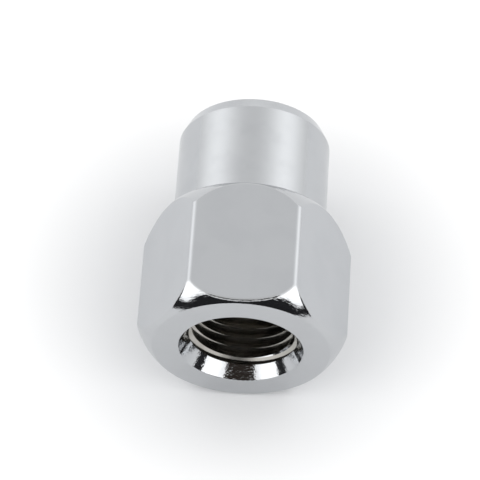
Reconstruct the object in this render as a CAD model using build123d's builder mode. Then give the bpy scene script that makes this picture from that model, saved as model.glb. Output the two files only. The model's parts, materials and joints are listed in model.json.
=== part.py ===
# Open-end lug nut for a wheel with a straight shank seat: one turned piece of chromed steel.
# It lies on one flat of its hexagon, with its bore along Y. The hexagon's own end faces -Y,
# where the stud comes through, and the shank that enters the wheel points along +Y.
# Origin: on the surface that the nut lies on, below the middle of its length. Millimetres.
from build123d import *
from math import cos, radians
import os

# Bore, at the minor diameter of a 1/2-20 UNF thread, with a countersink at each end: 60 degrees
# in the hexagon's end, to lead the stud in, and 90 degrees in the shank's end
bore_diameter = 11.4
face_sink_width = 1.3       # across the bore
face_sink_depth = 2.25      # along the bore
shank_sink = 1.0            # both ways
mouth_round = 0.1

# Shank, 17.4 mm across
shank_wall = 3.0
shank_length = 12.9
lead_in_length = 1.55       # chamfer at the shank's end, along the bore
lead_in_depth = 0.75        # the same chamfer, across the bore
shank_end_round = 0.2
seat_fillet = 0.25          # inside corner between shank and shoulder

# Hexagon, 20.64 mm across its flats, which is a 13/16 inch spanner size
seat_width = 1.62           # from the shank out to the flats
hex_length = 15.6
corner_round = 0.9          # radius of the six long edges

# Crowns, the bulged chamfers at the hexagon's two ends. A crown's depth is along the bore, out at
# the hexagon's sharp corners, and its bulge is how far it stands proud of a straight cone
face_inset = 0.37           # from the flats in to the end face's circle
face_crown_depth = 3.1
face_crown_bulge = 0.36
face_edge_round = 0.1
face_flat_round = 0.5       # where the flats run over into the crown
shoulder_inset = 0.15       # from the flats in to the shoulder's circle
shoulder_crown_depth = 3.2
shoulder_crown_bulge = 0.14
shoulder_edge_round = 0.1
shoulder_flat_round = 0.2

# Turned sections start between a corner and the middle of a flat, so that no seam meets either
section_turn = 20

bore_radius = bore_diameter / 2
shank_radius = bore_radius + shank_wall
apothem = shank_radius + seat_width
sharp_corner = apothem / cos(radians(30))
overall_length = hex_length + shank_length

hex_end = Plane(origin=(0, -overall_length / 2, apothem), x_dir=(1, 0, 0), z_dir=(0, 1, 0))
bore_axis = Axis(hex_end.origin, (0, 1, 0))
half_section = Plane(origin=hex_end.origin, x_dir=(1, 0, 0), z_dir=(0, 0, 1)).rotated((0, section_turn, 0))

with BuildPart() as nut_body:
    # Hexagon bar, with one flat down
    with BuildSketch(hex_end):
        RegularPolygon(radius=apothem, side_count=6, major_radius=False)
    extrude(amount=hex_length)
    fillet(nut_body.edges().filter_by(Axis.Y), radius=corner_round)

    # The bar is turned down to a bulged crown at each end
    face_edge = (apothem - face_inset, 0)
    face_corner = (sharp_corner, face_crown_depth)
    shoulder_corner = (sharp_corner, hex_length - shoulder_crown_depth)
    shoulder_edge = (apothem - shoulder_inset, hex_length)
    with BuildSketch(half_section):
        with BuildLine():
            Polyline(face_edge, (0, 0), (0, hex_length), shoulder_edge)
            SagittaArc(shoulder_edge, shoulder_corner, shoulder_crown_bulge)
            Line(shoulder_corner, face_corner)
            SagittaArc(face_corner, face_edge, face_crown_bulge)
        make_face()
    revolve(axis=bore_axis, mode=Mode.INTERSECT)

    # Rounded edges: the end face, the flats' two ends, and the shoulder
    end_face = nut_body.faces().filter_by(Axis.Y).sort_by(Axis.Y)[0]
    fillet(end_face.edges(), radius=face_edge_round)
    back, middle, front = overall_length / 2, (hex_length - overall_length) / 2, -overall_length / 2
    for low, high, flat_round in ((front, middle, face_flat_round), (middle, back, shoulder_flat_round)):
        curves = nut_body.edges().filter_by(GeomType.LINE, reverse=True)
        flat_ends = curves.filter_by(GeomType.CIRCLE, reverse=True).filter_by_position(Axis.Y, low, high)
        fillet(flat_ends, radius=flat_round)
    shoulder = nut_body.faces().filter_by(Axis.Y).sort_by(Axis.Y)[-1]
    fillet(shoulder.edges(), radius=shoulder_edge_round)

    # Shank, with its lead-in chamfer, filleted into the shoulder
    with BuildSketch(half_section):
        with BuildLine():
            Polyline(
                (0, hex_length / 2),
                (shank_radius, hex_length / 2),
                (shank_radius, overall_length - lead_in_length),
                (shank_radius - lead_in_depth, overall_length),
                (0, overall_length),
                close=True,
            )
        make_face()
    revolve(axis=bore_axis)
    shank_end = nut_body.faces().filter_by(Axis.Y).sort_by(Axis.Y)[-1]
    fillet(shank_end.edges(), radius=shank_end_round)
    shoulder = nut_body.faces().filter_by(Axis.Y).sort_by(Axis.Y)[-2]
    fillet(shoulder.inner_wires()[0].edges(), radius=seat_fillet)

    # Bore, countersunk at both ends
    with BuildSketch(half_section):
        with BuildLine():
            Polyline(
                (0, 0),
                (bore_radius + face_sink_width, 0),
                (bore_radius, face_sink_depth),
                (bore_radius, overall_length - shank_sink),
                (bore_radius + shank_sink, overall_length),
                (0, overall_length),
                close=True,
            )
        make_face()
    revolve(axis=bore_axis, mode=Mode.SUBTRACT)
    for end in (0, -1):
        end_face = nut_body.faces().filter_by(Axis.Y).sort_by(Axis.Y)[end]
        fillet(end_face.inner_wires()[0].edges(), radius=mouth_round)

nut_body.part.label = "nut_body"
os.makedirs("parts", exist_ok=True)
export_step(nut_body.part, "parts/nut_body.step")
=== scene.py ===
import bmesh
import bpy
import json
from math import cos, pi, radians, sin, tan
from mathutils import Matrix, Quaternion, Vector
from mathutils.bvhtree import BVHTree
from mathutils.interpolate import poly_3d_calc


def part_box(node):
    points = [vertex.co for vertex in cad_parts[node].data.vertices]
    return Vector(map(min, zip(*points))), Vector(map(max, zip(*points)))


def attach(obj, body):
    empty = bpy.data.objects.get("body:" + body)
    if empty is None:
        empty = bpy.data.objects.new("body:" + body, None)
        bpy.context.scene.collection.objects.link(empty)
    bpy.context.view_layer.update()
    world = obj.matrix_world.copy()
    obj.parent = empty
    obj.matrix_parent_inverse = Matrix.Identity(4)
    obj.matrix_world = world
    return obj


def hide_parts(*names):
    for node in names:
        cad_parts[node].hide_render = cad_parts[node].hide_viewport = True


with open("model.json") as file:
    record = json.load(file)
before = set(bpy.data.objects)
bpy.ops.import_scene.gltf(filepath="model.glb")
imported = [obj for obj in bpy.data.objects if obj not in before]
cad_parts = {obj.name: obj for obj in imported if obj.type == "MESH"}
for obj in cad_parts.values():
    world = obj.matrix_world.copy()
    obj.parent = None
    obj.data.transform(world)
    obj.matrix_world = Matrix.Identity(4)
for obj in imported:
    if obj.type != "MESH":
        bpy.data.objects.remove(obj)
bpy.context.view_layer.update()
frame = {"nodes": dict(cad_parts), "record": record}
mounts = {mount["name"]: mount for mount in frame["record"]["mounts"]}
boreAxis = Vector(mounts["stud_thread"]["pos_m"])
nutLow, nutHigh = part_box("nut_body")


def direction(azimuth, elevation):
    # from the nut: azimuth 0 is the side that the hexagon's end faces, 90 is to the right
    turn, lift = radians(azimuth), radians(elevation)
    return Vector((sin(turn) * cos(lift), -cos(turn) * cos(lift), sin(lift)))


def addNode(tree, kind, settings=None, inputs=None):
    node = tree.nodes.new(kind)
    for key, value in (settings or {}).items():
        setattr(node, key, value)
    for key, value in (inputs or {}).items():
        if isinstance(value, bpy.types.NodeSocket):
            tree.links.new(value, node.inputs[key])
        else:
            node.inputs[key].default_value = value
    return node


def maths(tree, operation, first, second=0.0):
    return addNode(tree, "ShaderNodeMath", {"operation": operation}, {0: first, 1: second}).outputs[0]


def newGroup(name, inputs, outputs):
    tree = bpy.data.node_groups.new(name, "ShaderNodeTree")
    for label, kind in inputs:
        tree.interface.new_socket(label, in_out="INPUT", socket_type=kind)
    for label, kind in outputs:
        tree.interface.new_socket(label, in_out="OUTPUT", socket_type=kind)
    return tree, tree.nodes.new("NodeGroupInput").outputs, tree.nodes.new("NodeGroupOutput").inputs


def makeTurningMarks():
    # rings left by the lathe, which follow the distance from the bore and the place along it
    tree, given, result = newGroup(
        "turningMarks",
        [("Place", "NodeSocketVector"), ("Marks per mm", "NodeSocketFloat"), ("Wander", "NodeSocketFloat")],
        [("Height", "NodeSocketFloat")],
    )
    apart = addNode(tree, "ShaderNodeSeparateXYZ", inputs={0: given["Place"]}).outputs
    flat = addNode(tree, "ShaderNodeCombineXYZ", inputs={"X": apart["X"], "Z": apart["Z"]}).outputs[0]
    radius = addNode(tree, "ShaderNodeVectorMath", {"operation": "LENGTH"}, {0: flat}).outputs["Value"]
    spoke = addNode(tree, "ShaderNodeVectorMath", {"operation": "NORMALIZE"}, {0: flat}).outputs[0]
    spokes = addNode(tree, "ShaderNodeSeparateXYZ", inputs={0: spoke}).outputs
    along = maths(tree, "MULTIPLY_ADD", apart["Y"], 1.7)
    tree.links.new(radius, along.node.inputs[2])
    perMetre = maths(tree, "MULTIPLY", given["Marks per mm"], 1000.0)
    ring = addNode(tree, "ShaderNodeCombineXYZ", inputs={
        "X": maths(tree, "MULTIPLY", along, perMetre),
        "Y": maths(tree, "MULTIPLY", spokes["X"], given["Wander"]),
        "Z": maths(tree, "MULTIPLY", spokes["Z"], given["Wander"]),
    }).outputs[0]
    noise = addNode(tree, "ShaderNodeTexNoise", {"noise_dimensions": "3D"},
                    {"Vector": ring, "Scale": 1.0, "Detail": 2.0, "Roughness": 0.6})
    tree.links.new(noise.outputs["Fac"], result["Height"])
    return tree


def makeHandlingHaze():
    # soft cloudy patches left by handling
    tree, given, result = newGroup(
        "handlingHaze",
        [("Place", "NodeSocketVector"), ("Patch size mm", "NodeSocketFloat")],
        [("Haze", "NodeSocketFloat")],
    )
    scale = maths(tree, "DIVIDE", 1000.0, given["Patch size mm"])
    noise = addNode(tree, "ShaderNodeTexNoise", {"noise_dimensions": "3D"},
                    {"Vector": given["Place"], "Scale": scale, "Detail": 4.0, "Roughness": 0.55})
    ramp = addNode(tree, "ShaderNodeMapRange", {"interpolation_type": "SMOOTHSTEP"},
                   {"Value": noise.outputs["Fac"], "From Min": 0.42, "From Max": 0.68})
    tree.links.new(ramp.outputs["Result"], result["Haze"])
    return tree


turningMarks = makeTurningMarks()
handlingHaze = makeHandlingHaze()


def makeMetal(name, finish):
    material = bpy.data.materials.new(name)
    material.use_nodes = True
    tree = material.node_tree
    shader = tree.nodes["Principled BSDF"]
    shader.inputs["Metallic"].default_value = 1.0
    place = addNode(tree, "ShaderNodeTexCoord").outputs["Object"]
    centred = addNode(tree, "ShaderNodeMapping", {"vector_type": "POINT"},
                      {"Vector": place, "Location": -boreAxis}).outputs[0]
    marks = addNode(tree, "ShaderNodeGroup", {"node_tree": turningMarks}, {
        "Place": centred,
        "Marks per mm": finish["marksPerMm"],
        "Wander": finish["wander"],
    }).outputs["Height"]
    haze = addNode(tree, "ShaderNodeGroup", {"node_tree": handlingHaze}, {
        "Place": centred,
        "Patch size mm": finish["patchMm"],
    }).outputs["Haze"]
    tint = addNode(tree, "ShaderNodeMix", {"data_type": "RGBA"}, {
        "Factor": haze,
        "A": finish["colour"],
        "B": finish["hazeColour"],
    })
    tree.links.new(tint.outputs["Result"], shader.inputs["Base Color"])
    gloss = addNode(tree, "ShaderNodeMapRange", inputs={
        "Value": haze, "To Min": finish["roughness"], "To Max": finish["hazeRoughness"]})
    tree.links.new(gloss.outputs["Result"], shader.inputs["Roughness"])
    bump = addNode(tree, "ShaderNodeBump", inputs={
        "Strength": finish["markStrength"], "Distance": finish["markDepthMm"] / 1000, "Height": marks})
    tree.links.new(bump.outputs["Normal"], shader.inputs["Normal"])
    return material


flatFinish = {          # the hexagon's flats and long edges
    "colour": (0.535, 0.549, 0.567, 1),
    "hazeColour": (0.517, 0.531, 0.55, 1),
    "roughness": 0.1,
    "hazeRoughness": 0.12,
    "patchMm": 5.0,
    "marksPerMm": 2.5,
    "wander": 30.0,
    "markDepthMm": 0.002,
    "markStrength": 0.5,
}
turnedFinish = {        # crowns, end face and countersinks
    "colour": (0.54, 0.552, 0.566, 1),
    "hazeColour": (0.525, 0.536, 0.55, 1),
    "roughness": 0.06,
    "hazeRoughness": 0.09,
    "patchMm": 4.0,
    "marksPerMm": 3.0,
    "wander": 15.0,
    "markDepthMm": 0.015,
    "markStrength": 1.0,
}
shankFinish = {         # finer turning under the same plating, so it looks satin
    "colour": (0.535, 0.549, 0.565, 1),
    "hazeColour": (0.51, 0.523, 0.54, 1),
    "roughness": 0.13,
    "hazeRoughness": 0.2,
    "patchMm": 4.0,
    "marksPerMm": 5.0,
    "wander": 2.5,
    "markDepthMm": 0.008,
    "markStrength": 1.0,
}
threadFinish = {        # thin plating down in the thread
    "colour": (0.53, 0.513, 0.478, 1),
    "hazeColour": (0.43, 0.412, 0.375, 1),
    "roughness": 0.14,
    "hazeRoughness": 0.24,
    "patchMm": 3.0,
    "marksPerMm": 4.0,
    "wander": 6.0,
    "markDepthMm": 0.01,
    "markStrength": 0.5,
}
nutMetals = [
    makeMetal("flatChrome", flatFinish),
    makeMetal("turnedChrome", turnedFinish),
    makeMetal("threadChrome", threadFinish),
    makeMetal("shankChrome", shankFinish),
]
flatSlot, turnedSlot, threadSlot, shankSlot = range(4)
print("finishes made")


thread = {
    "pitch": 0.00127,           # 1/2-20 UNF
    "majorRadius": 0.00635,     # to the bottom of the groove
    "coreRadius": 0.0055,       # inside the bore, so that the cut's own core touches nothing
    "rootFlat": 0.00016,        # width of the groove's bottom
    "flankAngle": 30,           # degrees from square to the bore
    "stepsPerTurn": 96,
    "startAngle": 200,          # where the groove starts, in degrees round the bore
    "leadTurns": 2.5,           # turns before the hexagon's end, trimmed off again
    "spareTurns": 4,            # turns beyond the nut's length, for both ends
}
nutMesh = {
    "mergeDistance": 0.000001,  # joins the CAD's loose triangles
    "sliverDistance": 0.0000005,
    "tapMerge": 0.000002,
    "trimDistance": 0.0000001,
    "sharpAngle": 24,           # degrees, inside the thread
    "inset": 0.02,              # how far toward its face's middle a corner looks for its CAD face
    "squareWithin": 0.02,       # how far a wall's normal may lean along the bore
    "crestReach": 1.005,        # bore radii within which a wall is the thread's crest
    "shankReach": 1.3,          # bore radii beyond which a face is outside the bore
    "flatReach": 1.02,          # shank radii beyond which a wall is one of the hexagon's flats
}


def openEdges(bm):
    return sum(not edge.is_manifold for edge in bm.edges)


def makeTap():
    # a closed screw the shape of the groove, a little longer than the nut at both ends
    bm = bmesh.new()
    slope = tan(radians(thread["flankAngle"]))
    halfRoot = thread["rootFlat"] / 2
    halfCore = halfRoot + (thread["majorRadius"] - thread["coreRadius"]) * slope
    startY = nutLow.y - thread["leadTurns"] * thread["pitch"]
    outline = [
        (-halfCore, thread["coreRadius"]),
        (-halfRoot, thread["majorRadius"]),
        (halfRoot, thread["majorRadius"]),
        (halfCore, thread["coreRadius"]),
        (thread["pitch"] - halfCore, thread["coreRadius"]),
    ]
    corners = [bm.verts.new((0, startY + along, boreAxis.z + out)) for along, out in outline]
    edges = [bm.edges.new(pair) for pair in zip(corners, corners[1:])]
    turn = Quaternion((0, 1, 0), radians(thread["startAngle"])).to_matrix()
    bmesh.ops.rotate(bm, verts=bm.verts, cent=boreAxis, matrix=turn)
    turns = int((nutHigh.y - nutLow.y) / thread["pitch"]) + thread["spareTurns"]
    steps = turns * thread["stepsPerTurn"]
    advance = Vector((0, thread["pitch"] / thread["stepsPerTurn"], 0))
    bmesh.ops.spin(bm, geom=corners + edges, cent=boreAxis, axis=(0, 1, 0), dvec=advance,
                   angle=2 * pi * turns, steps=steps, use_merge=False)
    bmesh.ops.remove_doubles(bm, verts=bm.verts, dist=nutMesh["tapMerge"])
    for endY, outward in ((nutLow.y - thread["pitch"], -1), (nutHigh.y + thread["pitch"], 1)):
        everything = bm.verts[:] + bm.edges[:] + bm.faces[:]
        cut = bmesh.ops.bisect_plane(bm, geom=everything, dist=nutMesh["trimDistance"],
                                     plane_co=(0, endY, 0), plane_no=(0, outward, 0), clear_outer=True)
        rim = [item for item in cut["geom_cut"] if isinstance(item, bmesh.types.BMEdge)]
        bmesh.ops.contextual_create(bm, geom=rim)
    bmesh.ops.recalc_face_normals(bm, faces=bm.faces)
    print("tap made,", len(bm.faces), "faces,", openEdges(bm), "open edges")
    mesh = bpy.data.meshes.new("tap")
    bm.to_mesh(mesh)
    bm.free()
    for polygon in mesh.polygons:
        polygon.material_index = threadSlot
    tap = bpy.data.objects.new("tap", mesh)
    bpy.context.scene.collection.objects.link(tap)
    return tap


def cutThread(nut, tap):
    groove = nut.modifiers.new("groove", "BOOLEAN")
    groove.operation = "DIFFERENCE"
    groove.solver = "EXACT"
    groove.object = tap
    depsgraph = bpy.context.evaluated_depsgraph_get()
    cutMesh = bpy.data.meshes.new_from_object(nut.evaluated_get(depsgraph))
    nut.modifiers.clear()
    nut.data = cutMesh
    bpy.data.objects.remove(tap)
    bm = bmesh.new()
    bm.from_mesh(cutMesh)
    bmesh.ops.triangulate(bm, faces=bm.faces)
    bmesh.ops.remove_doubles(bm, verts=bm.verts, dist=nutMesh["sliverDistance"])
    bmesh.ops.dissolve_degenerate(bm, edges=bm.edges, dist=nutMesh["sliverDistance"])
    print("thread cut,", len(bm.faces), "faces,", openEdges(bm), "open edges")
    bm.to_mesh(cutMesh)
    bm.free()


def takeCadNormals(mesh, cadMesh):
    # outside the thread, each corner keeps the turned surface's own direction from the CAD
    cadMesh.calc_loop_triangles()
    triangles = [list(triangle.vertices) for triangle in cadMesh.loop_triangles]
    loops = [list(triangle.loops) for triangle in cadMesh.loop_triangles]
    points = [vertex.co.copy() for vertex in cadMesh.vertices]
    tree = BVHTree.FromPolygons(points, triangles)
    cadNormals = [Vector(corner.vector) for corner in cadMesh.corner_normals]
    mesh.shade_smooth()
    mesh.set_sharp_from_angle(angle=radians(nutMesh["sharpAngle"]))
    directions = [Vector(corner.vector) for corner in mesh.corner_normals]
    for polygon in mesh.polygons:
        if polygon.material_index == threadSlot:
            continue
        for loopIndex in polygon.loop_indices:
            corner = mesh.vertices[mesh.loops[loopIndex].vertex_index].co
            index = tree.find_nearest(corner.lerp(polygon.center, nutMesh["inset"]))[2]
            weights = poly_3d_calc([points[i] for i in triangles[index]], corner)
            blended = Vector()
            for weight, loop in zip(weights, loops[index]):
                blended += weight * cadNormals[loop]
            directions[loopIndex] = blended.normalized()
    mesh.normals_split_custom_set(directions)


def makeNut():
    cadMesh = frame["nodes"]["nut_body"].data
    bm = bmesh.new()
    bm.from_mesh(cadMesh)
    bmesh.ops.remove_doubles(bm, verts=bm.verts, dist=nutMesh["mergeDistance"])
    mesh = bpy.data.meshes.new("chromedNut")
    bm.to_mesh(mesh)
    bm.free()
    for name in ("custom_normal", "sharp_edge", "sharp_face"):
        if name in mesh.attributes:
            mesh.attributes.remove(mesh.attributes[name])
    for material in nutMetals:
        mesh.materials.append(material)
    nut = bpy.data.objects.new("chromedNut", mesh)
    bpy.context.scene.collection.objects.link(nut)
    tap = makeTap()
    for material in nutMetals:
        tap.data.materials.append(material)
    cutThread(nut, tap)
    shank, bore = mounts["shank"], mounts["stud_thread"]
    shankRadius, boreRadius = shank["dims"]["r_mm"] / 1000, bore["dims"]["r_mm"] / 1000
    shankStart = shank["pos_m"][1] - shank["dims"]["length_mm"] / 2000
    for polygon in nut.data.polygons:
        if polygon.material_index == threadSlot:
            continue
        out = ((polygon.center - boreAxis) * Vector((1, 0, 1))).length
        square = abs(polygon.normal.y) < nutMesh["squareWithin"]
        if square and out < boreRadius * nutMesh["crestReach"]:
            polygon.material_index = threadSlot
        elif out > boreRadius * nutMesh["shankReach"] and polygon.center.y > shankStart:
            polygon.material_index = shankSlot
        elif square and out > shankRadius * nutMesh["flatReach"]:
            polygon.material_index = flatSlot
        else:
            polygon.material_index = turnedSlot
    takeCadNormals(nut.data, cadMesh)
    return nut


chromedNut = makeNut()
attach(chromedNut, "root")
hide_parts("nut_body")
print("nut made")


studio = {
    "floorHalf": 4,
    # painted shade: the floor's colour close to the nut, darker and bluer than the far floor that the
    # camera sees
    "floorPaintedShade": (0.83, 0.836, 0.846, 1),
    "floorFar": (0.83, 0.833, 0.84, 1),
    "floorShown": (0.97, 0.97, 0.97, 1),    # what the camera sees of the far floor
    "shadeInnerRadius": 0.014,
    "shadeOuterRadius": 0.034,
    "backgroundLevel": 1.0,
    "roomLevel": 0.88,
    "darkColour": (0.02, 0.02, 0.022, 1),
    "cameraColour": (0.035, 0.028, 0.023, 1),
}
glows = {   # azimuth from the front and elevation in degrees, strength, tightness
    "leftFront": (-63, 31, 1.3, 7),
    "rightFront": (63, 33, 1.3, 7),
    "leftBack": (-128, 27, 0.55, 12),
    "rightBack": (128, 33, 0.6, 12),
    "backLow": (180, 8, 0.2, 24),
    "frontShade": (0, 62, -0.3, 5),
}


nutMiddle = Vector((0, 0, boreAxis.z))
cards = {   # centre, what it faces, width, height, colour: only reflections see them
    "frontCard": ((0, -0.17, 0.065), (0, 0, 0.065), 0.34, 0.13, "darkColour"),
    "leftRim": ((-0.17, -0.085, 0.027), (0, -0.085, 0.027), 0.17, 0.054, "darkColour"),
    "rightRim": ((0.17, -0.085, 0.027), (0, -0.085, 0.027), 0.17, 0.054, "darkColour"),
    "cameraBody": (nutMiddle + direction(0, 62) * 0.3, nutMiddle, 0.28, 0.1, "cameraColour"),
}


def makeFloor():
    bm = bmesh.new()
    bmesh.ops.create_grid(bm, x_segments=1, y_segments=1, size=studio["floorHalf"])
    mesh = bpy.data.meshes.new("floor")
    bm.to_mesh(mesh)
    bm.free()
    floor = bpy.data.objects.new("floor", mesh)
    bpy.context.scene.collection.objects.link(floor)
    material = bpy.data.materials.new("floorPaperPaintedShade")
    material.use_nodes = True
    tree = material.node_tree
    shader = tree.nodes["Principled BSDF"]
    place = addNode(tree, "ShaderNodeTexCoord").outputs["Object"]
    away = addNode(tree, "ShaderNodeVectorMath", {"operation": "LENGTH"}, {0: place}).outputs["Value"]
    # painted shadow round the nut: the camera sees the floor darker and bluer close to it, fading to the
    # plain floor further away
    far = addNode(tree, "ShaderNodeMapRange", {"interpolation_type": "SMOOTHSTEP"}, {
        "Value": away, "From Min": studio["shadeInnerRadius"], "From Max": studio["shadeOuterRadius"]}).outputs["Result"]
    seen = addNode(tree, "ShaderNodeLightPath").outputs["Is Camera Ray"]
    outer = addNode(tree, "ShaderNodeMix", {"data_type": "RGBA"}, {
        "Factor": seen, "A": studio["floorFar"], "B": studio["floorShown"]}).outputs["Result"]
    paperAndPaintedShade = addNode(tree, "ShaderNodeMix", {"data_type": "RGBA"}, {
        "Factor": far, "A": studio["floorPaintedShade"], "B": outer}).outputs["Result"]
    tree.links.new(paperAndPaintedShade, shader.inputs["Base Color"])
    shader.inputs["Roughness"].default_value = 0.9
    shader.inputs["Specular IOR Level"].default_value = 0.1
    mesh.materials.append(material)


def makeWorld():
    # a white room, with a soft glow from a diffused lamp on either side
    world = bpy.data.worlds.new("studioWorld")
    bpy.context.scene.world = world
    world.use_nodes = True
    tree = world.node_tree
    way = addNode(tree, "ShaderNodeTexCoord").outputs["Generated"]
    level = studio["roomLevel"]
    for azimuth, elevation, strength, tightness in glows.values():
        toward = addNode(tree, "ShaderNodeVectorMath", {"operation": "DOT_PRODUCT"},
                         {0: way, 1: direction(azimuth, elevation)}).outputs["Value"]
        facing = maths(tree, "MAXIMUM", toward, 0.0)
        glow = maths(tree, "MULTIPLY", maths(tree, "POWER", facing, tightness), strength)
        level = maths(tree, "ADD", glow, level)
    seen = addNode(tree, "ShaderNodeLightPath").outputs["Is Camera Ray"]
    mixed = addNode(tree, "ShaderNodeMix", {"data_type": "FLOAT"}, {
        "Factor": seen, "A": level, "B": studio["backgroundLevel"]}).outputs["Result"]
    tree.links.new(mixed, tree.nodes["Background"].inputs["Strength"])
    tree.nodes["Background"].inputs["Color"].default_value = (1, 1, 1, 1)


def addCard(name, centre, aim, width, height, colour):
    bm = bmesh.new()
    bmesh.ops.create_grid(bm, x_segments=1, y_segments=1, size=0.5)
    bmesh.ops.scale(bm, verts=bm.verts, vec=(width, height, 1))
    turn = (Vector(aim) - Vector(centre)).to_track_quat("Z", "Y").to_matrix()
    bmesh.ops.rotate(bm, verts=bm.verts, cent=(0, 0, 0), matrix=turn)
    bmesh.ops.translate(bm, verts=bm.verts, vec=centre)
    mesh = bpy.data.meshes.new(name)
    bm.to_mesh(mesh)
    bm.free()
    card = bpy.data.objects.new(name, mesh)
    bpy.context.scene.collection.objects.link(card)
    material = bpy.data.materials.new(name + "Paper")
    material.use_nodes = True
    tree = material.node_tree
    tree.nodes.remove(tree.nodes["Principled BSDF"])
    glow = addNode(tree, "ShaderNodeEmission", inputs={"Color": colour, "Strength": 1.0})
    tree.links.new(glow.outputs[0], tree.nodes["Material Output"].inputs["Surface"])
    mesh.materials.append(material)
    card.visible_camera = False
    card.visible_diffuse = False
    card.visible_shadow = False
    return card


makeFloor()
makeWorld()
for name, (centre, aim, width, height, colour) in cards.items():
    addCard(name, centre, aim, width, height, studio[colour])
print("studio made")


view = {
    "target": (-0.00094, 0.000145, 0.01032),
    "azimuth": 3.64,
    "elevation": 57.858,
    "roll": -0.245,
    "distance": 0.3475,
    "lens": 228.97,
}


def makeCamera():
    back = direction(view["azimuth"], view["elevation"])
    lens = bpy.data.cameras.new("camera")
    lens.lens = view["lens"]
    lens.sensor_width = 36
    lens.clip_start = 0.01
    camera = bpy.data.objects.new("camera", lens)
    bpy.context.scene.collection.objects.link(camera)
    camera.location = Vector(view["target"]) + back * view["distance"]
    camera.rotation_mode = "QUATERNION"
    camera.rotation_quaternion = back.to_track_quat("Z", "Y") @ Quaternion((0, 0, 1), radians(view["roll"]))
    bpy.context.scene.camera = camera


makeCamera()
bpy.context.scene.view_settings.view_transform = "Standard"
print("camera placed")
